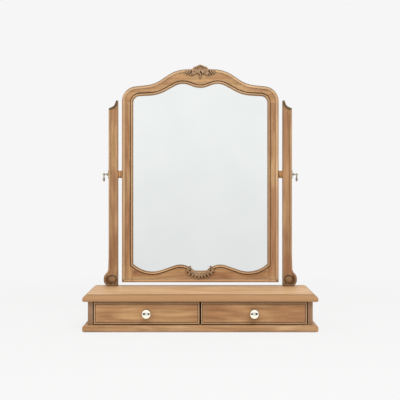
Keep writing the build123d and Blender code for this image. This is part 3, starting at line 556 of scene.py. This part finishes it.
def makeCrest():
    def place(x, z, y):
        return Vector((x * mm, y, crestTop + z * mm))

    def shell(t, side):
        turn = math.radians(crest["spread"]) * side
        fan = math.cos(side * crest["flutes"] * 0.5 * math.pi)
        reach = (0.10 + 0.90 * t) * (1.0 + crest["fluteSwell"] * fan * t)
        wide = crest["shellWide"] * (1.0 + 0.05 * math.cos(turn))
        x = crest["shellMiddle"][0] + wide * reach * math.sin(turn)
        z = crest["shellMiddle"][1] + crest["shellTall"] * reach * math.cos(turn)
        rim = math.exp(-((t - 0.86) / 0.13) ** 2)
        cup = math.exp(-((t - 0.55) / 0.16) ** 2)
        rise = crest["shellRise"] * (0.78 + 0.22 * rim) - crest["cupDepth"] * cup
        rise += crest["fluteDepth"] * fan * t * (0.4 + 0.6 * rim)
        return x, z, max(rise * (1.0 - 0.45 * max(t - 0.93, 0.0) / 0.07), 0.4)

    def boss(t, side):
        turn = math.pi * side
        x = crest["bossMiddle"][0] + crest["boss"][0] * t * math.sin(turn)
        z = crest["bossMiddle"][1] + crest["boss"][1] * t * math.cos(turn)
        return x, z, crest["bossRise"][0] + crest["bossRise"][1] * math.sqrt(max(1.0 - t * t, 0.0))

    bm = bmesh.new()
    addRelief(bm, seat, shell, (20, 110), place)
    addRelief(bm, seat - crest["bossLift"] * mm, boss, (8, 40), place)
    for leaf in crest["leaves"]:
        for one in (leaf, mirroredLeaf(leaf)):
            addRelief(bm, seat, leafShape(one), (36, 14), place)
    for leaf in crest["pendant"]:
        addRelief(bm, seat, leafShape(leaf), (36, 12), place)
    return newPiece("crestCarving", bm, "mirror_frame", "carving", ["crest_carving"], 75.0)


def makeGarland():
    def place(x, z, y):
        return Vector((x * mm, y, sillBottom + z * mm))

    def bud(middle, size, rise):
        def shape(t, side):
            turn = math.pi * side
            petal = 1.0 + 0.16 * math.cos(5 * turn) * t
            x = middle[0] + size * t * petal * math.sin(turn)
            z = middle[1] + size * t * petal * math.cos(turn)
            heart = 0.9 * math.exp(-(t / 0.28) ** 2) - 0.7 * math.exp(-((t - 0.42) / 0.12) ** 2)
            return x, z, rise * (0.45 + 0.55 * math.sqrt(max(1.0 - t ** 2.4, 0.0))) + heart
        return shape

    bm = bmesh.new()
    for leaf in garland["horns"]:
        for one in (leaf, mirroredLeaf(leaf)):
            addRelief(bm, seat, leafShape(one), (30, 12), place)
    for index in range(garland["scallops"]):
        x = garland["half"] * (2 * index / (garland["scallops"] - 1) - 1)
        top = garland["budDrop"] + garland["sag"] * x * x
        lean = x * garland["scallopLean"]
        leaf = dict(path=[(x * 0.95, top - 3.5), (x + lean * 0.4, top - 8.5), (x + lean, top - 14.0)],
                    width=[2.6, 4.9, 3.2], rise=[3.4, garland["scallopRise"], 7.4], lobes=0, vein=0.9, ribs=1)
        addRelief(bm, seat, leafShape(leaf), (18, 12), place)
    for index in range(garland["buds"]):
        x = garland["half"] * 0.93 * (2 * index / (garland["buds"] - 1) - 1)
        top = garland["budDrop"] + garland["sag"] * x * x
        addRelief(bm, seat, bud((x, top), garland["budSize"], garland["budRise"]), (7, 30), place)
    ends = garland["half"] + 2.0
    swagTop = garland["budDrop"] - garland["bandDrop"]
    shares = (-1.0, -0.6, -0.2, 0.2, 0.6, 1.0)
    sweep = [(share * ends, swagTop + garland["sag"] * (share * ends) ** 2) for share in shares]
    band = dict(path=sweep, width=[5.0, 6.5, 7.0, 7.0, 6.5, 5.0], rise=[garland["bandRise"]] * len(sweep),
                vein=0.0, ribs=0)
    addRelief(bm, seat, leafShape(band), (60, 8), place)
    return newPiece("garlandCarving", bm, "mirror_frame", "carving", ["garland_carving"], 75.0)


makeCrest()
makeGarland()
print("carvings done")


# mirror frame: one moulding runs round it, cut into two rails and two stiles
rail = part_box("frame_top_rail")
frameEdges = dict(half=rail[1].x / mm, top=rail[1].z / mm, joint=rail[0].z / mm, back=rail[1].y / mm,
                  sill=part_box("frame_bottom_rail")[0].z / mm, open=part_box("frame_bottom_rail")[1].x / mm)
moulding = dict(
    # corners as x, drop from the top or height over the sill's edge, and radius
    outerTop=[(0, 0, 0), (78.7, 0, 113.8), (151.6, 49.6, 107.7), (frameEdges["half"], 61.4, 49.2)],
    openTop=[(-62.3, 42.1, 55.4), (0, 64.7, 64.2), (62.3, 42.1, 55.4), (139.6, 84.9, 126.0),
             (frameEdges["open"], 89.2, 21.8)],
    openSill=[(frameEdges["open"], 60.0, 0), (176.1, 23.7, 92.1), (64.2, 62.1, 57.2), (32.0, 48.4, 20.0),
              (20.0, 37.8, 14.0), (-20.0, 37.8, 14.0)],
    cornerStart=(48.0, 21.0), counts=(120, 30, 4, 130), rimRound=6.0, field=1.2, hollow=2.1, hollowSteps=10,
    backEase=0.8, railLap=0.6, sillReach=300,
    # across the wood from the outside, as distance from the outer edge and depth
    rim=[(9.3, 0.0), (9.8, 0.25), (10.0, 0.7), (10.2, 1.7), (10.8, 1.95), (11.4, 1.7), (11.6, 1.2)],
    # then as distance from the opening and depth
    bead=[(10.2, 1.2), (9.9, 3.4), (9.0, 4.2), (7.9, 4.2), (7.3, 3.4), (7.1, 1.9), (6.7, 1.0), (5.9, 0.5),
          (4.8, 0.3), (3.6, 0.4), (2.8, 0.9), (2.3, 1.9), (2.1, 3.3), (1.5, 2.8), (0.8, 2.7), (0.2, 3.0),
          (0.0, 3.6), (0.0, 9.0), (8.0, 9.0), (8.0, 13.0), (15.5, 13.0), (15.5, 26.0)],
)


def softLine(corners):
    # straight stretches with a round at every inner corner
    line = [Vector(corners[0][:2])]
    for (x0, z0, _), (x1, z1, radius), (x2, z2, _) in zip(corners, corners[1:], corners[2:]):
        here = Vector((x1, z1))
        come = (here - Vector((x0, z0))).normalized()
        leave = (Vector((x2, z2)) - here).normalized()
        turn = math.atan2(come.x * leave.y - come.y * leave.x, come.dot(leave))
        side = Vector((-come.y, come.x)) * math.copysign(radius, turn)
        middle = here - come * radius * math.tan(abs(turn) / 2) + side
        count = max(int(abs(math.degrees(turn)) / 2), 1) if radius else 0
        for step in range(count + 1):
            angle = turn * step / max(count, 1)
            spoke = Vector((-side.x * math.cos(angle) + side.y * math.sin(angle),
                            -side.x * math.sin(angle) - side.y * math.cos(angle)))
            line.append(middle + spoke)
    line.append(Vector(corners[-1][:2]))
    return line


def spaced(line, count):
    # points at even steps along a line, without its last point
    lengths = [(b - a).length for a, b in zip(line, line[1:])]
    total = sum(lengths)
    points = []
    at, passed = 0, 0.0
    for step in range(count):
        want = total * step / count
        while at < len(lengths) - 1 and passed + lengths[at] < want:
            passed += lengths[at]
            at += 1
        share = (want - passed) / max(lengths[at], 1e-9)
        points.append(line[at].lerp(line[at + 1], min(max(share, 0.0), 1.0)))
    return points


def withPoint(line, axis, value):
    # the line with a point added where it first passes a value of x or z
    for index, (a, b) in enumerate(zip(line, line[1:])):
        if (a[axis] - value) * (b[axis] - value) <= 0 and a[axis] != b[axis]:
            share = (value - a[axis]) / (b[axis] - a[axis])
            return line[:index + 1] + [a.lerp(b, share)] + line[index + 1:]
    return line


def halfOutline(topCorners, sillCorners, cornerX):
    # stations from the middle of the top, down the right side, to the middle of the sill
    edges = frameEdges
    corners = [(x, edges["top"] - drop, radius) for x, drop, radius in topCorners]
    corners += [(x, edges["sill"] + height, radius) for x, height, radius in sillCorners]
    line = withPoint(softLine(corners), 0, 0.0)
    line = line[next(i for i, p in enumerate(line) if p.x > -0.001):]
    line = withPoint(withPoint(line, 0, cornerX), 1, edges["joint"])
    side, low = sillCorners[0][0], edges["sill"] + sillCorners[0][1]
    ends = next(i for i, p in enumerate(line) if p.y < low + 0.01 and p.x > side - 0.01)
    line = line[:ends] + withPoint(line[ends:], 0, 0.0)
    stop = max(i for i, p in enumerate(line) if p.x > -0.001)
    line = line[:stop + 1]
    start = next(i for i, p in enumerate(line) if p.x > cornerX - 0.01)
    joint = next(i for i, p in enumerate(line) if i > start and p.y < edges["joint"] + 0.01)
    marks = [0, start, joint, ends, len(line) - 1]
    stations = []
    for first, last, count in zip(marks, marks[1:], moulding["counts"]):
        stations += spaced(line[first:last + 1], count)
    return stations + [line[-1]]


def ringOutline(half):
    return half + [Vector((-point.x, point.y)) for point in reversed(half[1:-1])]


def outward(ring):
    # the way to move each station so that every side shifts by one
    moves = []
    for index, here in enumerate(ring):
        before, after = ring[index - 1], ring[(index + 1) % len(ring)]
        come, leave = (here - before).normalized(), (after - here).normalized()
        first, second = Vector((-come.y, come.x)), Vector((-leave.y, leave.x))
        moves.append((first + second) / (1.0 + first.dot(second)))
    return moves


def mouldingRings():
    # every ring runs round the frame; together they go once round the wood's section
    edges = frameEdges
    sillLine = [(edges["half"], 0, 0), (-20.0, 0, 0)]
    outer = ringOutline(halfOutline(moulding["outerTop"], sillLine,
                                    edges["half"] - moulding["cornerStart"][0]))
    opening = ringOutline(halfOutline(moulding["openTop"], moulding["openSill"],
                                      edges["open"] - moulding["cornerStart"][1]))
    outerWay, openWay = outward(outer), outward(opening)
    front = frontFace / mm
    radius = moulding["rimRound"]
    across = [(radius * (1 - math.cos(math.radians(a))), radius * (1 - math.sin(math.radians(a))))
              for a in range(0, 91, 15)] + moulding["rim"]
    rings = [[(p - w * inset, front + depth) for p, w in zip(outer, outerWay)] for inset, depth in across]
    inner = [[(p + w * inset, front + depth) for p, w in zip(opening, openWay)]
             for inset, depth in moulding["bead"]]
    for step in range(1, moulding["hollowSteps"]):
        t = step / moulding["hollowSteps"]
        depth = front + moulding["field"] + moulding["hollow"] * (1 - (2 * t - 1) ** 2)
        rings.append([(a[0].lerp(b[0], t), depth) for a, b in zip(rings[len(across) - 1], inner[0])])
    rings += inner
    ease = moulding["backEase"]
    rings.append([(p - w * ease, edges["back"]) for p, w in zip(outer, outerWay)])
    rings.append([(p, edges["back"] - ease) for p in outer])
    return rings


def makeFrame():
    rings = mouldingRings()
    count = len(rings[0])
    edges = frameEdges
    cut = edges["open"] - moulding["railLap"]
    pieces = {
        "frameTopRail": ("frame_top_rail", [((0, 0, edges["joint"]), (0, 0, -1))]),
        "frameBottomRail": ("frame_bottom_rail", [((cut, 0, 0), (1, 0, 0)), ((-cut, 0, 0), (-1, 0, 0)),
                                                  ((0, 0, edges["top"] - moulding["sillReach"]), (0, 0, 1))]),
        "frameRightStile": ("frame_right_stile",
                            [((cut, 0, 0), (-1, 0, 0)), ((0, 0, edges["joint"]), (0, 0, 1))]),
        "frameLeftStile": ("frame_left_stile",
                           [((-cut, 0, 0), (1, 0, 0)), ((0, 0, edges["joint"]), (0, 0, 1))]),
    }
    for name, (node, cuts) in pieces.items():
        bm = bmesh.new()
        made = bmesh.ops.create_grid(bm, x_segments=count, y_segments=len(rings), size=1.0)["verts"]
        for vert in made:
            station = round((vert.co.x + 1) / 2 * count) % count
            ring = round((vert.co.y + 1) / 2 * len(rings)) % len(rings)
            spot, depth = rings[ring][station]
            vert.co = Vector((spot.x, depth, spot.y)) * mm
        bmesh.ops.remove_doubles(bm, verts=bm.verts, dist=1e-7)
        for place, way in cuts:
            parts = bm.verts[:] + bm.edges[:] + bm.faces[:]
            bmesh.ops.bisect_plane(bm, geom=parts, dist=1e-7, plane_co=Vector(place) * mm, plane_no=way,
                                   clear_outer=True)
            rim = [edge for edge in bm.edges if edge.is_boundary]
            bmesh.ops.holes_fill(bm, edges=rim, sides=0)
        finish = node if node in finishes else "stile"
        newPiece(name, bm, "mirror_frame", finish, [node], 38.0)
        print(name, "stations", count, "rings", len(rings), "points", len(made))


makeFrame()
print("frame done")


# turned and cast fittings
def spun(bm, profile, middle, axis, steps):
    # profile as radius and distance along the axis
    way = Vector(axis)
    side = way.orthogonal().normalized()
    points = [bm.verts.new(Vector(middle) + (side * radius + way * along) * mm) for radius, along in profile]
    line = [bm.edges.new((points[i], points[i + 1])) for i in range(len(points) - 1)]
    bmesh.ops.spin(bm, geom=points + line, cent=middle, axis=way, angle=2 * math.pi, steps=steps,
                   use_merge=True)


def rounded(profile):
    # softens a turner's profile, keeping its two ends
    cut = [profile[0]]
    for (r0, a0), (r1, a1) in zip(profile, profile[1:]):
        cut += [(0.75 * r0 + 0.25 * r1, 0.75 * a0 + 0.25 * a1), (0.25 * r0 + 0.75 * r1, 0.25 * a0 + 0.75 * a1)]
    return cut + [profile[-1]]


pivot = (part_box("left_pivot_spacer")[0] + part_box("left_pivot_spacer")[1]) / 2
bobbin = dict(profile=[(2.6, 0.0), (12.2, 0.0), (13.0, 0.5), (13.0, 2.2), (12.5, 2.7), (10.6, 2.9),
                       (10.6, 3.5), (11.6, 4.2), (12.6, 5.6), (12.9, 7.0), (12.6, 8.4), (11.6, 9.8),
                       (10.6, 10.5), (10.6, 11.1), (12.5, 11.3), (13.0, 11.8), (13.0, 13.5), (12.2, 14.0),
                       (2.6, 14.0), (2.6, 0.0)])
turn = dict(
    stem=[(0.0, -4.3), (1.2, -4.2), (2.6, -3.4), (4.0, -1.8), (4.3, 0.0), (4.0, 1.8), (3.0, 3.2), (2.4, 4.4),
          (2.2, 5.4), (2.6, 6.4), (3.2, 7.4), (3.4, 8.6), (3.2, 9.6), (4.4, 10.2), (4.6, 11.0), (4.6, 12.2),
          (4.2, 12.6), (2.6, 12.6)],
    drop=[(0.0, -24.3), (0.9, -24.2), (2.2, -23.2), (3.3, -20.8), (3.8, -17.6), (3.8, -14.6), (3.3, -11.6),
          (2.4, -8.8), (1.7, -6.8), (1.6, -5.4), (2.2, -4.4), (2.2, -3.0), (1.4, -2.0), (0.0, -2.0)],
    flat=1.75, ball=12.6, flatBelow=5.0, flatOver=4.0)
plate = dict(steps=72, rings=[(1.0, 0.0), (1.0, 0.8), (0.97, 1.4), (0.92, 1.75), (0.86, 1.8), (0.80, 1.45),
                              (0.74, 1.2), (0.60, 1.35), (0.42, 1.7), (0.30, 1.8)],
             collar=[(2.6, 0.6), (5.2, 0.6), (5.2, 3.2), (4.9, 3.8), (4.3, 4.1), (2.6, 4.15)])


def makeBobbin(side, sign):
    low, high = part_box(side + "_pivot_spacer")
    start = high.x if sign > 0 else low.x
    bm = bmesh.new()
    spun(bm, bobbin["profile"], (start, pivot.y, pivot.z), (-sign, 0, 0), 64)
    newPiece(side + "Bobbin", bm, "base", "pivot_spacer", [side + "_pivot_spacer"], 50.0)


def makeTurn(side, sign):
    low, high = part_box(side + "_thumb_turn")
    inner = low.x if sign > 0 else high.x
    ball = (inner + sign * turn["ball"] * mm, pivot.y, pivot.z)
    bm = bmesh.new()
    spun(bm, turn["stem"], ball, (-sign, 0, 0), 40)
    spun(bm, rounded(turn["drop"]), ball, (0, 0, 1), 40)
    for vert in bm.verts:
        below = ball[2] - turn["flatBelow"] * mm - vert.co.z
        if below > 0:
            wider = 1 + (turn["flat"] - 1) * min(below / (turn["flatOver"] * mm), 1.0)
            vert.co.y = pivot.y + (vert.co.y - pivot.y) * wider
    newPiece(side + "ThumbTurn", bm, side + "_thumb_screw", "antique",
             [side + "_thumb_turn"], 50.0)


def makePlate(side, sign):
    low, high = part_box(side + "_backplate")
    start = low.x if sign > 0 else high.x
    bm = bmesh.new()
    half = ((high.y - low.y) / 2, (high.z - low.z) / 2)
    rings = []
    for share, rise in plate["rings"]:
        ring = bmesh.ops.create_circle(bm, segments=plate["steps"], radius=1.0)["verts"]
        for vert in ring:
            wide, tall = vert.co.x, vert.co.y
            vert.co = Vector((start + sign * rise * mm, pivot.y + wide * half[0] * share,
                              pivot.z + tall * half[1] * share))
        rings.append([edge for edge in {edge for vert in ring for edge in vert.link_edges}])
    for first, second in zip(rings, rings[1:]):
        bmesh.ops.bridge_loops(bm, edges=first + second)
    bmesh.ops.holes_fill(bm, edges=rings[0], sides=0)
    bmesh.ops.holes_fill(bm, edges=rings[-1], sides=0)
    spun(bm, plate["collar"] + [plate["collar"][0]], (start, pivot.y, pivot.z), (sign, 0, 0), 40)
    newPiece(side + "Backplate", bm, "base", "antique", [side + "_backplate"], 50.0)


for side, sign in (("left", -1), ("right", 1)):
    makeBobbin(side, sign)
    makeTurn(side, sign)
    makePlate(side, sign)
print("fittings done")


# floor, light and camera
studio = dict(back=(246, 246, 246), floorSize=14.0, ambient=0.68, key=46.0, fill=8.0, floorTone=0.88,
              nearShare=0.12, nearRadius=0.75, farRadius=1.6, daylight=(1.0, 0.985, 0.96, 1.0),
              roomLow=(0.800, 0.812, 0.806, 1.0), roomHigh=(0.928, 0.944, 0.940, 1.0),
              brightLow=(1.35, 1.30, 1.18, 1.0), brightHigh=(1.35, 1.32, 1.24, 1.0))


def makeFloor():
    bm = bmesh.new()
    bmesh.ops.create_grid(bm, x_segments=8, y_segments=8, size=studio["floorSize"] / 2)
    mesh = bpy.data.meshes.new("studioFloor")
    bm.to_mesh(mesh)
    bm.free()
    floor = bpy.data.objects.new("studioFloor", mesh)
    scene.collection.objects.link(floor)
    material, tree, shader, place = startMaterial("studioFloorPaint")
    shader.inputs["Base Color"].default_value = (studio["floorTone"],) * 3 + (1.0,)
    shader.inputs["Roughness"].default_value = 0.9
    shader.inputs["Specular IOR Level"].default_value = 0.1
    glow = addNode(tree, "ShaderNodeEmission", {"Color": paint(*studio["back"])}).outputs[0]
    seen = addNode(tree, "ShaderNodeLightPath").outputs
    looked = calc(tree, "ADD", seen["Is Camera Ray"], seen["Is Glossy Ray"])
    looked = calc(tree, "ADD", looked, seen["Is Transmission Ray"], clamp=True)
    away = addNode(tree, "ShaderNodeVectorMath", {0: place}, operation="LENGTH").outputs["Value"]
    share = fade(tree, away, studio["nearRadius"], studio["farRadius"], 1.0 - studio["nearShare"], 1.0)
    mixed = addNode(tree, "ShaderNodeMixShader",
                    {0: calc(tree, "MULTIPLY", looked, share), 1: shader.outputs[0], 2: glow})
    tree.links.new(mixed.outputs[0], tree.nodes["Material Output"].inputs[0])
    mesh.materials.append(material)
    floor.visible_glossy = False


def makeWorld():
    world = bpy.data.worlds.new("studioRoom")
    scene.world = world
    world.use_nodes = True
    tree = world.node_tree
    tree.nodes.clear()
    seen = addNode(tree, "ShaderNodeLightPath").outputs
    way = addNode(tree, "ShaderNodeTexCoord").outputs["Generated"]
    up = addNode(tree, "ShaderNodeSeparateXYZ", {0: way}).outputs
    # metal and glass see a room a little duller low down, bright far above and below
    room = blendColour(tree, fade(tree, up[2], -0.17, 0.12), studio["roomLow"], studio["roomHigh"])
    room = blendColour(tree, fade(tree, up[2], -0.22, -0.34), room, studio["brightLow"])
    room = blendColour(tree, fade(tree, up[2], 0.17, 0.30), room, studio["brightHigh"])
    camera = addNode(tree, "ShaderNodeBackground", {0: paint(*studio["back"])}).outputs[0]
    mirrored = addNode(tree, "ShaderNodeBackground", {0: room}).outputs[0]
    ambient = addNode(tree, "ShaderNodeBackground", {0: studio["daylight"], 1: studio["ambient"]}).outputs[0]
    shiny = calc(tree, "ADD", seen["Is Glossy Ray"], seen["Is Transmission Ray"], clamp=True)
    first = addNode(tree, "ShaderNodeMixShader", {0: shiny, 1: ambient, 2: mirrored}).outputs[0]
    second = addNode(tree, "ShaderNodeMixShader", {0: seen["Is Camera Ray"], 1: first, 2: camera}).outputs[0]
    surface = tree.nodes.new("ShaderNodeOutputWorld")
    tree.links.new(second, surface.inputs[0])


def makeFlags():
    # dark cards that only the polished knobs see: from farther off they are clear
    flags = dict(front=-0.32, low=0.002, high=0.088,
                 spans=[(-0.385, -0.215), (-0.115, 0.115), (0.215, 0.385)], reach=0.33)
    bm = bmesh.new()
    for start, end in flags["spans"]:
        made = bmesh.ops.create_grid(bm, x_segments=1, y_segments=1, size=0.5)["verts"]
        for vert in made:
            across, up = vert.co.x + 0.5, vert.co.y + 0.5
            vert.co = Vector((start + (end - start) * across, flags["front"],
                              flags["low"] + (flags["high"] - flags["low"]) * up))
    mesh = bpy.data.meshes.new("studioFlags")
    bm.to_mesh(mesh)
    bm.free()
    cards = bpy.data.objects.new("studioFlags", mesh)
    scene.collection.objects.link(cards)
    material, tree, shader, place = startMaterial("studioFlagBlack")
    shader.inputs["Base Color"].default_value = (0.01, 0.01, 0.01, 1.0)
    shader.inputs["Roughness"].default_value = 1.0
    length = addNode(tree, "ShaderNodeLightPath").outputs["Ray Length"]
    clear = addNode(tree, "ShaderNodeBsdfTransparent").outputs[0]
    far = calc(tree, "GREATER_THAN", length, flags["reach"])
    mixed = addNode(tree, "ShaderNodeMixShader", {0: far, 1: shader.outputs[0], 2: clear})
    tree.links.new(mixed.outputs[0], tree.nodes["Material Output"].inputs[0])
    mesh.materials.append(material)
    for kind in ("camera", "diffuse", "transmission", "shadow"):
        setattr(cards, "visible_" + kind, False)


def makeLamp(name, place, aim, size, power):
    lamp = bpy.data.lights.new(name, "AREA")
    lamp.shape = "RECTANGLE"
    lamp.size, lamp.size_y = size
    lamp.energy = power
    holder = bpy.data.objects.new(name, lamp)
    holder.location = place
    holder.rotation_euler = (Vector(aim) - Vector(place)).to_track_quat("-Z", "Y").to_euler()
    holder.visible_glossy = False
    holder.visible_camera = False
    scene.collection.objects.link(holder)


def makeCamera():
    view = dict(lens=66.1, place=(0.0, -2.34225, 0.4547), shiftX=-0.00075, shiftY=-0.0405)
    data = bpy.data.cameras.new("viewCamera")
    data.lens = view["lens"]
    data.sensor_width = 36.0
    data.shift_x = view["shiftX"]
    data.shift_y = view["shiftY"]
    data.clip_end = 50.0
    camera = bpy.data.objects.new("viewCamera", data)
    camera.location = view["place"]
    camera.rotation_euler = (math.pi / 2, 0.0, 0.0)
    scene.collection.objects.link(camera)
    scene.camera = camera


makeFloor()
makeFlags()
makeWorld()
makeLamp("keyLamp", (0.4, -1.9, 2.35), (0.0, 0.0, 0.35), (2.0, 1.2), studio["key"])
makeLamp("fillLamp", (-1.8, -1.8, 1.2), (0.0, 0.0, 0.4), (1.6, 1.6), studio["fill"])
makeCamera()
scene.view_settings.view_transform = "Standard"
print("studio ready")
